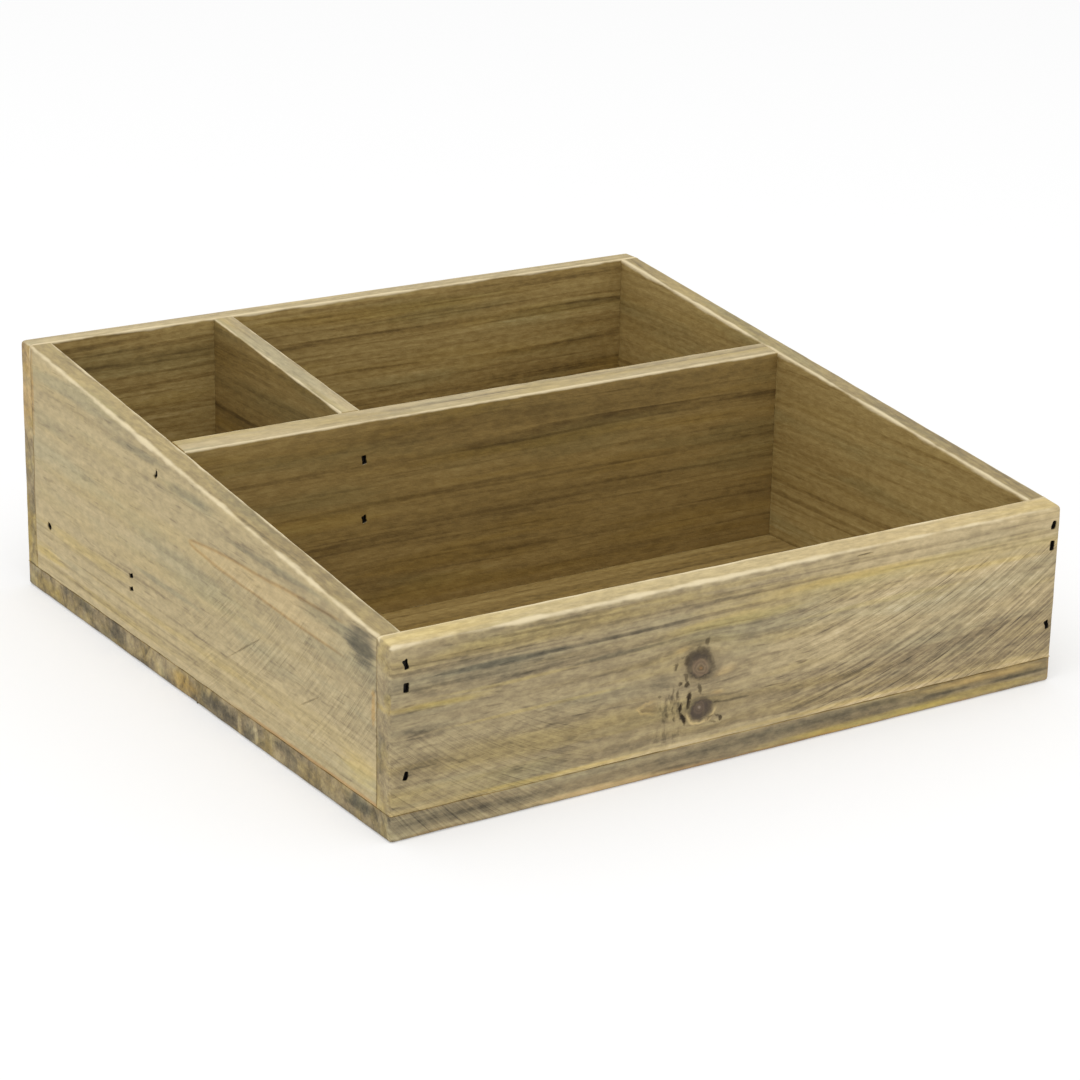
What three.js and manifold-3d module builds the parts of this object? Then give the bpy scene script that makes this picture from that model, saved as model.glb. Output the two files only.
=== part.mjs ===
// A wooden condiment caddy with sloping sides, nailed up from flat boards: two base planks, a front, a back
// and two tapering sides, a cross divider, a raised floor behind it and a partition between the rear bays.
// Millimetres. +X is right, +Y is to the back and +Z is up. The origin is the middle of the underside.
import * as THREE from "three";
import { mergeVertices } from "three/addons/utils/BufferGeometryUtils.js";
import Module from "manifold-3d";

const wasm = await Module();
wasm.setup();

// Outside of the box
const WIDTH = 280;
const DEPTH = 280;
const FRONT_HEIGHT = 68;
const BACK_HEIGHT = 99;

// Thickness of each kind of board, and the sanded chamfer along every edge
const WALL = 9;
const BASE = 9.5;
const DIVIDER = 10.5;
const PARTITION = 8.5;
const REAR_FLOOR = 9;
const EASED_EDGE = 0.5;

// Clear sizes between the boards
const FRONT_BAY_DEPTH = 151;
const LEFT_BAY_WIDTH = 69;
const SPACE_UNDER_REAR_FLOOR = 16;
const BACK_PLANK_LEAD = 23.5; // how far the back plank reaches forward of the divider

// Brads: flat wire with a T head, driven below the surface
const BRAD_LENGTH = 25;
const BRAD_WIDTH = 1.6;
const BRAD_THICKNESS = 1.4;
const BRAD_HEAD_WIDTH = 2.7;
const BRAD_HEAD_DEPTH = 1.2;
const BRAD_POINT = 2.5;
const BRAD_SUNK = 1.5;
const BRAD_CLEARANCE = 0.3;
const HOLE_OVERSHOOT = 1;

// Where the brads are driven
const CORNER_BRAD_UPPER = 7; // below the top edge
const CORNER_BRAD_SECOND = 15; // below the top edge
const CORNER_BRAD_LOWER = 13; // above the base
const CORNER_BRAD_STRAY = 1.2; // to the right of the middle of the side board's end
const DIVIDER_BRAD_DROP = 9; // below the sloping edge
const FLOOR_BRAD_FROM_DIVIDER = 17;
const FLOOR_BRAD_FROM_BACK = 12.5;
const FLOOR_BRAD_PAIR = 5; // between the two brads of the doubled pair on the left
const PARTITION_BRAD_DROP = 16; // below the sloping edge
const PARTITION_BRAD_RISE = 14; // above the raised floor
const BASE_BRAD_FROM_CORNER = 40; // from the ends of the front and back boards
const BASE_BRAD_FROM_END = 33; // from the front and back boards, along the sides
const BASE_BRAD_FROM_SEAM = 22; // from the seam between the planks, along the sides
const BASE_BRAD_FROM_DIVIDER_END = 61;

// Faces that the boards share
const LEFT = -WIDTH / 2;
const RIGHT = WIDTH / 2;
const FRONT = -DEPTH / 2;
const BACK = DEPTH / 2;
const INNER_LEFT = LEFT + WALL;
const INNER_RIGHT = RIGHT - WALL;
const INNER_FRONT = FRONT + WALL;
const INNER_BACK = BACK - WALL;
const DIVIDER_FRONT = INNER_FRONT + FRONT_BAY_DEPTH;
const DIVIDER_BACK = DIVIDER_FRONT + DIVIDER;
const PARTITION_LEFT = INNER_LEFT + LEFT_BAY_WIDTH;
const PARTITION_RIGHT = PARTITION_LEFT + PARTITION;
const FLOOR_BOTTOM = BASE + SPACE_UNDER_REAR_FLOOR;
const FLOOR_TOP = FLOOR_BOTTOM + REAR_FLOOR;
const SEAM = DIVIDER_FRONT - BACK_PLANK_LEAD;

// Height of the sloping edge, from the front board's outer face up to the back board's inner face
const SLOPE = (BACK_HEIGHT - FRONT_HEIGHT) / (INNER_BACK - FRONT);
const slopeAt = (y) => FRONT_HEIGHT + SLOPE * (y - FRONT);

// A closed geometry as a solid that can be cut
function solidOf(geometry) {
  geometry.deleteAttribute("normal");
  geometry.deleteAttribute("uv");
  const merged = mergeVertices(geometry, 1e-4);
  return new wasm.Manifold(
    new wasm.Mesh({
      numProp: 3,
      vertProperties: new Float32Array(merged.attributes.position.array),
      triVerts: new Uint32Array(merged.index.array),
    }),
  );
}

function geometryOf(solid) {
  const mesh = solid.getMesh();
  const geometry = new THREE.BufferGeometry();
  geometry.setAttribute("position", new THREE.BufferAttribute(mesh.vertProperties, 3));
  geometry.setIndex(new THREE.BufferAttribute(mesh.triVerts, 1));
  return geometry;
}

// The corners of an outline, each cut back along both edges by the eased edge
function easedShape(corners) {
  const points = corners.map(([y, z]) => new THREE.Vector2(y, z));
  const eased = points.flatMap((corner, i) => {
    const before = points.at(i - 1).clone().sub(corner).setLength(EASED_EDGE);
    const after = points[(i + 1) % points.length].clone().sub(corner).setLength(EASED_EDGE);
    return [corner.clone().add(before), corner.clone().add(after)];
  });
  return new THREE.Shape(eased);
}

// Every board is an outline in the YZ plane drawn out along X, with all its edges eased.
const yzAlongX = new THREE.Matrix4().makeBasis(
  new THREE.Vector3(0, 1, 0),
  new THREE.Vector3(0, 0, 1),
  new THREE.Vector3(1, 0, 0),
);

function board(corners, fromX, toX) {
  const geometry = new THREE.ExtrudeGeometry(easedShape(corners), {
    depth: toX - fromX - 2 * EASED_EDGE,
    bevelEnabled: true,
    bevelThickness: EASED_EDGE,
    bevelSize: EASED_EDGE,
    bevelOffset: -EASED_EDGE,
    bevelSegments: 1,
  });
  geometry.applyMatrix4(yzAlongX);
  geometry.translate(fromX + EASED_EDGE, 0, 0);
  return solidOf(geometry);
}

const rectangle = (y0, y1, z0, z1) => [[y0, z0], [y1, z0], [y1, z1], [y0, z1]];
const underSlope = (y0, y1, z0) => [[y0, z0], [y1, z0], [y1, slopeAt(y1)], [y0, slopeAt(y0)]];

const rearFloorOutline = rectangle(DIVIDER_BACK, INNER_BACK, FLOOR_BOTTOM, FLOOR_TOP);

const boards = new Map([
  ["base_plank_front", board(rectangle(FRONT, SEAM, 0, BASE), LEFT, RIGHT)],
  ["base_plank_back", board(rectangle(SEAM, BACK, 0, BASE), LEFT, RIGHT)],
  ["front_board", board(underSlope(FRONT, INNER_FRONT, BASE), LEFT, RIGHT)],
  ["back_board", board(rectangle(INNER_BACK, BACK, BASE, BACK_HEIGHT), LEFT, RIGHT)],
  ["left_side", board(underSlope(INNER_FRONT, INNER_BACK, BASE), LEFT, INNER_LEFT)],
  ["right_side", board(underSlope(INNER_FRONT, INNER_BACK, BASE), INNER_RIGHT, RIGHT)],
  ["cross_divider", board(underSlope(DIVIDER_FRONT, DIVIDER_BACK, BASE), INNER_LEFT, INNER_RIGHT)],
  ["rear_floor", board(rearFloorOutline, INNER_LEFT, INNER_RIGHT)],
  ["partition", board(underSlope(DIVIDER_BACK, INNER_BACK, FLOOR_TOP), PARTITION_LEFT, PARTITION_RIGHT)],
]);

// Directions in which a brad is driven, or across which its head is wide
const RIGHTWARD = new THREE.Vector3(1, 0, 0);
const LEFTWARD = new THREE.Vector3(-1, 0, 0);
const BACKWARD = new THREE.Vector3(0, 1, 0);
const FORWARD = new THREE.Vector3(0, -1, 0);
const UPWARD = new THREE.Vector3(0, 0, 1);

// A flat outline, widest across "wide" and running along "drive" from a point on the board's face
function alongDrive(outline, thickness, { point, drive, wide }) {
  const geometry = new THREE.ExtrudeGeometry(new THREE.Shape(outline), {
    depth: thickness,
    bevelEnabled: false,
  });
  geometry.translate(0, 0, -thickness / 2);
  const across = wide.clone().cross(drive);
  geometry.applyMatrix4(new THREE.Matrix4().makeBasis(wide, drive, across).setPosition(point));
  return geometry;
}

function bradGeometry(place) {
  const head = BRAD_HEAD_WIDTH / 2;
  const shank = BRAD_WIDTH / 2;
  const neck = BRAD_SUNK + BRAD_HEAD_DEPTH;
  const tip = BRAD_SUNK + BRAD_LENGTH;
  const outline = [
    new THREE.Vector2(head, BRAD_SUNK),
    new THREE.Vector2(head, neck),
    new THREE.Vector2(shank, neck),
    new THREE.Vector2(shank, tip - BRAD_POINT),
    new THREE.Vector2(0, tip),
    new THREE.Vector2(-shank, tip - BRAD_POINT),
    new THREE.Vector2(-shank, neck),
    new THREE.Vector2(-head, neck),
    new THREE.Vector2(-head, BRAD_SUNK),
  ];
  return alongDrive(outline, BRAD_THICKNESS, place);
}

function bradHole(place) {
  const slot = BRAD_HEAD_WIDTH / 2 + BRAD_CLEARANCE;
  const shank = BRAD_WIDTH / 2 + BRAD_CLEARANCE;
  const neck = BRAD_SUNK + BRAD_HEAD_DEPTH + BRAD_CLEARANCE;
  const end = BRAD_SUNK + BRAD_LENGTH + BRAD_CLEARANCE;
  const outline = [
    new THREE.Vector2(slot, -HOLE_OVERSHOOT),
    new THREE.Vector2(slot, neck),
    new THREE.Vector2(shank, neck),
    new THREE.Vector2(shank, end),
    new THREE.Vector2(-shank, end),
    new THREE.Vector2(-shank, neck),
    new THREE.Vector2(-slot, neck),
    new THREE.Vector2(-slot, -HOLE_OVERSHOOT),
  ];
  return solidOf(alongDrive(outline, BRAD_THICKNESS + 2 * BRAD_CLEARANCE, place));
}

// Each brad goes through one board and into another, and both are bored for it.
const brads = new Map();

function driveBrad(name, through, into, x, y, z, drive, wide) {
  const place = { point: new THREE.Vector3(x, y, z), drive, wide };
  const hole = bradHole(place);
  for (const bored of [through, into]) {
    boards.set(bored, boards.get(bored).subtract(hole));
  }
  brads.set(name, bradGeometry(place));
}

const sides = [
  { hand: "left", node: "left_side", outer: LEFT, middle: LEFT + WALL / 2, inward: RIGHTWARD },
  { hand: "right", node: "right_side", outer: RIGHT, middle: RIGHT - WALL / 2, inward: LEFTWARD },
];
const ends = [
  { end: "front", node: "front_board", outer: FRONT, middle: FRONT + WALL / 2, inward: BACKWARD },
  { end: "back", node: "back_board", outer: BACK, middle: BACK - WALL / 2, inward: FORWARD },
];
const topOf = { front: FRONT_HEIGHT, back: BACK_HEIGHT };

// Front and back boards onto the ends of the sides: two brads near the top and one low down
for (const { end, node, outer, inward } of ends) {
  const levels = {
    upper: topOf[end] - CORNER_BRAD_UPPER,
    second: topOf[end] - CORNER_BRAD_SECOND,
    lower: BASE + CORNER_BRAD_LOWER,
  };
  for (const side of sides) {
    for (const [level, z] of Object.entries(levels)) {
      const name = `brad_${end}_${side.hand}_${level}`;
      driveBrad(name, node, side.node, side.middle + CORNER_BRAD_STRAY, outer, z, inward, UPWARD);
    }
  }
}

// Sides onto the cross divider and the raised floor
const dividerMiddle = DIVIDER_FRONT + DIVIDER / 2;
const floorMiddle = FLOOR_BOTTOM + REAR_FLOOR / 2;
const floorBradFront = DIVIDER_BACK + FLOOR_BRAD_FROM_DIVIDER;
const floorBradBack = INNER_BACK - FLOOR_BRAD_FROM_BACK;
const dividerBradHeight = slopeAt(dividerMiddle) - DIVIDER_BRAD_DROP;
const floorBrads = {
  left: [
    ["front_high", floorBradFront, floorMiddle + FLOOR_BRAD_PAIR / 2],
    ["front_low", floorBradFront, floorMiddle - FLOOR_BRAD_PAIR / 2],
    ["back", floorBradBack, floorMiddle],
  ],
  right: [
    ["front", floorBradFront, floorMiddle],
    ["back", floorBradBack, floorMiddle],
  ],
};
for (const { hand, node, outer, inward } of sides) {
  const dividerBrad = `brad_${hand}_divider`;
  driveBrad(dividerBrad, node, "cross_divider", outer, dividerMiddle, dividerBradHeight, inward, UPWARD);
  for (const [place, y, z] of floorBrads[hand]) {
    driveBrad(`brad_${hand}_floor_${place}`, node, "rear_floor", outer, y, z, inward, BACKWARD);
  }
}

// Cross divider and back board onto the ends of the partition
const partitionMiddle = PARTITION_LEFT + PARTITION / 2;
const partitionFaces = [
  { end: "front", node: "cross_divider", face: DIVIDER_FRONT, meets: DIVIDER_BACK, inward: BACKWARD },
  { end: "back", node: "back_board", face: BACK, meets: INNER_BACK, inward: FORWARD },
];
for (const { end, node, face, meets, inward } of partitionFaces) {
  const levels = {
    upper: slopeAt(meets) - PARTITION_BRAD_DROP,
    lower: FLOOR_TOP + PARTITION_BRAD_RISE,
  };
  for (const [level, z] of Object.entries(levels)) {
    driveBrad(`brad_partition_${end}_${level}`, node, "partition", partitionMiddle, face, z, inward, UPWARD);
  }
}

// Base planks from beneath onto every wall and the divider
for (const { end, node, middle } of ends) {
  const spots = [
    ["left", LEFT + BASE_BRAD_FROM_CORNER],
    ["middle", 0],
    ["right", RIGHT - BASE_BRAD_FROM_CORNER],
  ];
  for (const [place, x] of spots) {
    const name = `brad_base_${end}_board_${place}`;
    driveBrad(name, `base_plank_${end}`, node, x, middle, 0, UPWARD, RIGHTWARD);
  }
}
for (const { hand, node, middle } of sides) {
  const spots = [
    ["front_outer", "base_plank_front", INNER_FRONT + BASE_BRAD_FROM_END],
    ["front_inner", "base_plank_front", SEAM - BASE_BRAD_FROM_SEAM],
    ["back_inner", "base_plank_back", SEAM + BASE_BRAD_FROM_SEAM],
    ["back_outer", "base_plank_back", INNER_BACK - BASE_BRAD_FROM_END],
  ];
  for (const [place, plank, y] of spots) {
    driveBrad(`brad_base_${hand}_${place}`, plank, node, middle, y, 0, UPWARD, BACKWARD);
  }
}
const dividerSpots = [
  ["left", INNER_LEFT + BASE_BRAD_FROM_DIVIDER_END],
  ["right", INNER_RIGHT - BASE_BRAD_FROM_DIVIDER_END],
];
for (const [place, x] of dividerSpots) {
  const name = `brad_base_divider_${place}`;
  driveBrad(name, "base_plank_back", "cross_divider", x, dividerMiddle, 0, UPWARD, RIGHTWARD);
}

// Weathered olive-tan pine outside, darker where the boards are shaded inside, and dull steel brads
const outerPine = { color: 0x9d8d5e, roughness: 0.78, metalness: 0 };
const innerPine = { color: 0x7c6a3c, roughness: 0.8, metalness: 0 };
const basePine = { color: 0x85785a, roughness: 0.82, metalness: 0 };
const dullSteel = { color: 0x3a3632, roughness: 0.5, metalness: 0.9 };
const boardFinish = {
  base_plank_front: basePine,
  base_plank_back: basePine,
  cross_divider: innerPine,
  rear_floor: innerPine,
  partition: innerPine,
};

const caddy = new THREE.Group();
caddy.name = "condiment_caddy";

function addPiece(name, geometry, finish) {
  const mesh = new THREE.Mesh(geometry, new THREE.MeshStandardMaterial({ ...finish, flatShading: true }));
  mesh.name = name;
  caddy.add(mesh);
}

for (const [name, solid] of boards) {
  addPiece(name, geometryOf(solid), boardFinish[name] ?? outerPine);
}
for (const [name, geometry] of brads) {
  addPiece(name, geometry, dullSteel);
}

export default caddy;
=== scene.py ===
"""A condiment caddy: stained pine boards nailed into an open tray with a sloping top.

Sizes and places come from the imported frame, in metres. Patterns on the wood are laid out in millimetres.
"""

import math
import random
from types import SimpleNamespace

import bpy
from mathutils import Matrix, Vector


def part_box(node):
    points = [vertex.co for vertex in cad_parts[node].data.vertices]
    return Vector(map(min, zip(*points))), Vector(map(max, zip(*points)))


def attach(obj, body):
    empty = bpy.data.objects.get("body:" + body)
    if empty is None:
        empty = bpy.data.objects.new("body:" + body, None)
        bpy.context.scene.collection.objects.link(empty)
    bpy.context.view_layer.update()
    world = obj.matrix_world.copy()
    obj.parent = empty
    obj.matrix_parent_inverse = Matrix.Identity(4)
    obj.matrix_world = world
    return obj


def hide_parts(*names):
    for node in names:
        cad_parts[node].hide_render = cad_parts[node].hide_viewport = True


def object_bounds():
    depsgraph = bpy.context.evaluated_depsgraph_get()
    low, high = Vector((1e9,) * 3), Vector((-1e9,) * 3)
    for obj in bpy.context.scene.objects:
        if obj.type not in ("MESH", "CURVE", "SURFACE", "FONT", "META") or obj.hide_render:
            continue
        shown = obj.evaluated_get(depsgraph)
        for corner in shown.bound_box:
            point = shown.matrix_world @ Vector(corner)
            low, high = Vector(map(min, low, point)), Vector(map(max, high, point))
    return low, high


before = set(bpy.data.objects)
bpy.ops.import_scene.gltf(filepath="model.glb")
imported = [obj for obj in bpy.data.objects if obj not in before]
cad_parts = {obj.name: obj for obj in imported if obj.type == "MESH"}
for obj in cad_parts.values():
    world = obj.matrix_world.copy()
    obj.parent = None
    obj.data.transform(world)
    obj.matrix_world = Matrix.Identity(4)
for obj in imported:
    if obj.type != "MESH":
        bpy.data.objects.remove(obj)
cad_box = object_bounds()

# Base planks: two sawn pine planks, edge to edge under all the walls, with their grain from left to right.
# They are nailed up into the walls from beneath. Their sawn ends drank most of the grey stain, and the
# corners that stand outside were sanded round after the caddy was put together.

MM = 0.001
caddy_low, caddy_high = (Vector(corner) for corner in cad_box)
left_side_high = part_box("left_side")[1]
front_board_low, front_board_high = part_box("front_board")
TOP_SLOPE = (left_side_high.z - front_board_high.z) / (left_side_high.y - front_board_high.y)

TOUCHING = 0.1 * MM
SANDED_ROUND = 1.3 * MM
TOP_OUTER_ROUND = 1.8 * MM
TOP_INNER_ROUND = 0.7 * MM
JOINT_EASE = 0.06 * MM
ROUND_STEPS = 3
SLICE_ALONG = 2.5 * MM
SLICE_ACROSS = 3 * MM
SHORTEST_SLICED = 4 * MM
NEARLY_PARALLEL = 0.98
WEAR_REACH = 2.2 * MM
WEAR_DEPTH = 0.22 * MM
WEAR_PATCH = 12 * MM
SMOOTH_ANGLE = math.radians(38)


def block(middle, size):
    """A block at a place, of a size."""
    bpy.ops.mesh.primitive_cube_add(size=1, location=middle)
    made = bpy.context.active_object
    made.scale = size
    bpy.ops.object.transform_apply(location=True, rotation=False, scale=True)
    return made


def clear_selection(mesh):
    """Leaves no vertex, edge or face of a mesh selected."""
    for items in (mesh.vertices, mesh.edges, mesh.polygons):
        items.foreach_set("select", [False] * len(items))


def select_edges(board, wanted):
    """Leaves a board in edit mode, with the edges selected whose two ends are wanted."""
    bpy.ops.object.mode_set(mode="OBJECT")
    bpy.context.tool_settings.mesh_select_mode = (False, True, False)
    mesh = board.data
    clear_selection(mesh)
    for edge in mesh.edges:
        a, b = (mesh.vertices[corner].co for corner in edge.vertices)
        edge.select = wanted(a, b)
    bpy.ops.object.mode_set(mode="EDIT")


def start_board(node, sloped):
    """A block at a board's size and place, with its top planed down towards the front if it slopes."""
    low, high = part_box(node)
    board = block((low + high) / 2, high - low)
    board.name = node + "_wood"

    def on_front_top(a, b):
        return min(a.z, b.z) > high.z - TOUCHING and max(a.y, b.y) < low.y + TOUCHING

    if sloped:
        select_edges(board, on_front_top)
        bpy.ops.transform.translate(value=(0, 0, -TOP_SLOPE * (high.y - low.y)))
        bpy.ops.object.mode_set(mode="OBJECT")
    return board


def top_of(high, y, sloped):
    """The height of a board's top at a place from front to back, from its highest corner."""
    return high.z - TOP_SLOPE * (high.y - y) if sloped else high.z


def ease_edges(board, node, sloped, wall):
    """Rounds a board's edges: sanded outside corners, worn top arrises, and nearly sharp joints."""
    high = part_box(node)[1]
    weights = board.data.attributes.new("bevel_weight_edge", "FLOAT", "EDGE")
    for edge in board.data.edges:
        a, b = (board.data.vertices[corner].co for corner in edge.vertices)
        middle = (a + b) / 2
        outside = abs(abs(middle.x) - caddy_high.x) < TOUCHING
        outside += abs(abs(middle.y) - caddy_high.y) < TOUCHING
        outside += middle.z < TOUCHING
        on_top = wall and middle.z > top_of(high, middle.y, sloped) - TOUCHING
        if outside >= 2:
            width = SANDED_ROUND
        elif on_top:
            width = TOP_OUTER_ROUND if outside else TOP_INNER_ROUND
        else:
            width = JOINT_EASE
        weights.data[edge.index].value = width / TOP_OUTER_ROUND
    rounding = board.modifiers.new("rounding", "BEVEL")
    rounding.limit_method = "WEIGHT"
    rounding.width = TOP_OUTER_ROUND
    rounding.segments = ROUND_STEPS
    bpy.ops.object.modifier_apply(modifier=rounding.name)


def slice_board(board, axis, spacing):
    """Cuts a board into even slices across an axis, so that its surface can wear unevenly."""
    length = board.dimensions[axis]

    def runs_along(a, b):
        way = b - a
        return way.length > SHORTEST_SLICED and abs(way.normalized()[axis]) > NEARLY_PARALLEL

    select_edges(board, runs_along)
    bpy.ops.mesh.subdivide(number_cuts=round(length / spacing) - 1)
    bpy.ops.object.mode_set(mode="OBJECT")


worn_patches = bpy.data.textures.new("worn_patches", "CLOUDS")
worn_patches.noise_scale = WEAR_PATCH
worn_patches.noise_depth = 2
worn_patches.contrast = 2.2
worn_patches.intensity = 0.85
worn_patches.use_clamp = True


def wear_arrises(board, node, sloped):
    """Wears a board's rounded edges inwards, in patches."""
    low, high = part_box(node)
    arris = board.vertex_groups.new(name="arris")
    for vertex in board.data.vertices:
        x, y, z = vertex.co
        depths = [min(x - low.x, high.x - x), min(y - low.y, high.y - y)]
        depths.append(min(z - low.z, top_of(high, y, sloped) - z))
        from_arris = sorted(depths)[1]
        arris.add([vertex.index], max(0.0, 1 - from_arris / WEAR_REACH), "REPLACE")
    wear = board.modifiers.new("wear", "DISPLACE")
    wear.texture = worn_patches
    wear.texture_coords = "GLOBAL"
    wear.vertex_group = arris.name
    wear.mid_level = 0
    wear.strength = -WEAR_DEPTH
    bpy.ops.object.modifier_apply(modifier=wear.name)


BRAD_HEADS = {
    "brad_front": (0, -1, 0), "brad_back": (0, 1, 0), "brad_left": (-1, 0, 0), "brad_right": (1, 0, 0),
    "brad_base": (0, 0, -1), "brad_partition_front": (0, -1, 0), "brad_partition_back": (0, 1, 0),
}
BRAD_CLEARANCE = 0.25 * MM
BRAD_SUNK = 1.5 * MM
SLOT_OVERSHOOT = 1 * MM
MOUTH_TEAR = 0.45
MOUTH_SHIFT = 0.5 * MM
MOUTH_LEAN = 0.7
SLOT_ROUND = 0.5 * MM
MOUTH_TURN = math.radians(30)
SLOT_SEED = 7
TORN_ASLANT = {"brad_left_divider": (math.radians(-50), 1.4)}
brad_nodes = sorted(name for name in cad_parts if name.startswith("brad_"))


def brad_head(name):
    """The way that a brad's head faces."""
    starts = [start for start in BRAD_HEADS if name.startswith(start)]
    return Vector(BRAD_HEADS[max(starts, key=len)])


def slot_cutter(name, chance):
    """The hole that one driven brad leaves, torn wider at its mouth."""
    low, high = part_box(name)
    head = brad_head(name)
    room = Vector((BRAD_CLEARANCE,) * 3)
    cutter = block((low + high) / 2, high - low + 2 * room)
    clear_selection(cutter.data)
    for face in cutter.data.polygons:
        face.select = face.normal.dot(head) > NEARLY_PARALLEL
    bpy.context.tool_settings.mesh_select_mode = (False, False, True)
    bpy.ops.object.mode_set(mode="EDIT")
    outwards = head * (BRAD_SUNK + SLOT_OVERSHOOT - BRAD_CLEARANCE)
    bpy.ops.mesh.extrude_region_move(TRANSFORM_OT_translate={"value": outwards})
    torn = [1 + MOUTH_TEAR * chance.random() for _ in range(3)]
    bpy.ops.transform.resize(value=torn)
    bpy.ops.transform.vertex_random(offset=MOUTH_SHIFT, seed=chance.randrange(1000))
    turn, wider = TORN_ASLANT.get(name, (chance.uniform(-MOUTH_TURN, MOUTH_TURN), 1.0))
    way = "XYZ"[max(range(3), key=lambda axis: abs(head[axis]))]
    bpy.ops.transform.resize(value=(wider,) * 3)
    bpy.ops.transform.rotate(value=turn, orient_axis=way, center_override=(low + high) / 2)
    select_edges(cutter, lambda a, b: abs((b - a).normalized().dot(head)) > MOUTH_LEAN)
    bpy.ops.mesh.bevel(offset=SLOT_ROUND, segments=ROUND_STEPS, clamp_overlap=True)
    bpy.ops.object.mode_set(mode="OBJECT")
    return cutter


slot_chance = random.Random(SLOT_SEED)
slot_cutters = {name: slot_cutter(name, slot_chance) for name in brad_nodes}


def pick(board):
    """Makes a board the only thing that is selected."""
    bpy.ops.object.select_all(action="DESELECT")
    board.select_set(True)
    bpy.context.view_layer.objects.active = board


def cut_with(board, cutter):
    """Takes a cutter's shape out of a board."""
    pick(board)
    cut = board.modifiers.new("cut", "BOOLEAN")
    cut.operation = "DIFFERENCE"
    cut.solver = "EXACT"
    cut.object = cutter
    bpy.ops.object.modifier_apply(modifier=cut.name)


def passes_into(name, node):
    """Whether a brad passes into a board."""
    (low, high), (start, end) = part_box(name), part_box(node)
    return all(low[i] < end[i] - TOUCHING and high[i] > start[i] + TOUCHING for i in range(3))


def bore_slots(board, node):
    """Cuts the slots of the brads that pass into a board."""
    bpy.ops.object.select_all(action="DESELECT")
    for name, cutter in slot_cutters.items():
        if passes_into(name, node):
            cutter.select_set(True)
            bpy.context.view_layer.objects.active = cutter
    bpy.ops.object.duplicate()
    bpy.ops.object.join()
    slots = bpy.context.active_object
    cut_with(board, slots)
    bpy.data.objects.remove(slots)


def work_board(node, axes, sloped=False):
    """A finished board, bored for its brads. Axes are those of its grain, its width and its thickness."""
    board = start_board(node, sloped)
    ease_edges(board, node, sloped, wall=axes[1] == "Z")
    slice_board(board, "XYZ".index(axes[0]), SLICE_ALONG)
    slice_board(board, "XYZ".index(axes[1]), SLICE_ACROSS)
    wear_arrises(board, node, sloped)
    bore_slots(board, node)
    return board


def set_board(board, node, material):
    """Gives a finished board its wood, and puts it in the place of its plain solid."""
    pick(board)
    bpy.ops.object.shade_smooth_by_angle(angle=SMOOTH_ANGLE)
    board.data.materials.clear()
    board.data.materials.append(material)
    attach(board, "root")
    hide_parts(node)


def srgb(red, green, blue):
    """A colour as an eye names it, from 0 to 255, as the light that a surface gives back."""
    parts = [part / 255 for part in (red, green, blue)]
    return tuple(p / 12.92 if p <= 0.04045 else ((p + 0.055) / 1.055) ** 2.4 for p in parts) + (1.0,)


def node_of(kind, inputs, tree=None, **settings):
    """A shader node with its settings, and with each input set to a value or linked to a socket.

    It is made among the nodes that its sockets belong to, or in a tree that is named.
    """
    sockets = [value for value in inputs.values() if isinstance(value, bpy.types.NodeSocket)]
    tree = tree or sockets[0].id_data
    made = tree.nodes.new("ShaderNode" + kind)
    for name, value in settings.items():
        setattr(made, name, value)
    for name, value in inputs.items():
        if isinstance(value, bpy.types.NodeSocket):
            tree.links.new(value, made.inputs[name])
        else:
            made.inputs[name].default_value = value
    return made


def calc(operation, *values):
    """A sum on sockets or numbers."""
    return node_of("Math", dict(enumerate(values)), operation=operation).outputs[0]


def both(*shares):
    """Where all the shares hold."""
    result = shares[0]
    for share in shares[1:]:
        result = calc("MULTIPLY", result, share)
    return result


def vector_calc(operation, *values):
    """A sum on vectors."""
    made = node_of("VectorMath", dict(enumerate(values)), operation=operation)
    return made.outputs["Value" if operation == "LENGTH" else "Vector"]


def vector_times(vector, factor):
    """A vector made longer or shorter."""
    return node_of("VectorMath", {0: vector, "Scale": factor}, operation="SCALE").outputs[0]


def ramp(value, start, end, low=0.0, high=1.0):
    """A smooth rise from low, where a value is at start, to high, where it is at end."""
    inputs = {"Value": value, "From Min": start, "From Max": end, "To Min": low, "To Max": high}
    return node_of("MapRange", inputs, interpolation_type="SMOOTHSTEP").outputs["Result"]


def mixed(share, under, over, blend="MIX"):
    """One colour laid over another."""
    return node_of("Mix", {0: share, 6: under, 7: over}, data_type="RGBA", blend_type=blend).outputs[2]


# The values between which nearly all of a noise lies.
NOISE_RANGE = (0.3, 0.7)


def noise(place, size, seed, drawn=1, detail=2.0, roughness=0.5):
    """Noise in spots about a size across, drawn out along the grain."""
    short = vector_calc("MULTIPLY", place, (1 / drawn, 1, 1))
    inputs = {"Vector": short, "W": seed, "Scale": 1 / size, "Detail": detail, "Roughness": roughness}
    return node_of("TexNoise", inputs, noise_dimensions="4D").outputs[0]


def sway(place, size, seed, drawn, amount):
    """A wandering push to all sides, of about an amount."""
    colour = noise(place, size, seed, drawn).node.outputs["Color"]
    return vector_times(vector_calc("SUBTRACT", colour, (0.5, 0.5, 0.5)), amount)


def new_group(name, vectors, values):
    """An empty node group, and the vectors and values that it is given."""
    group = bpy.data.node_groups.new(name, "ShaderNodeTree")
    for socket in vectors + values:
        kind = "NodeSocketVector" if socket in vectors else "NodeSocketFloat"
        group.interface.new_socket(socket, in_out="INPUT", socket_type=kind)
    return group, group.nodes.new("NodeGroupInput").outputs


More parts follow.
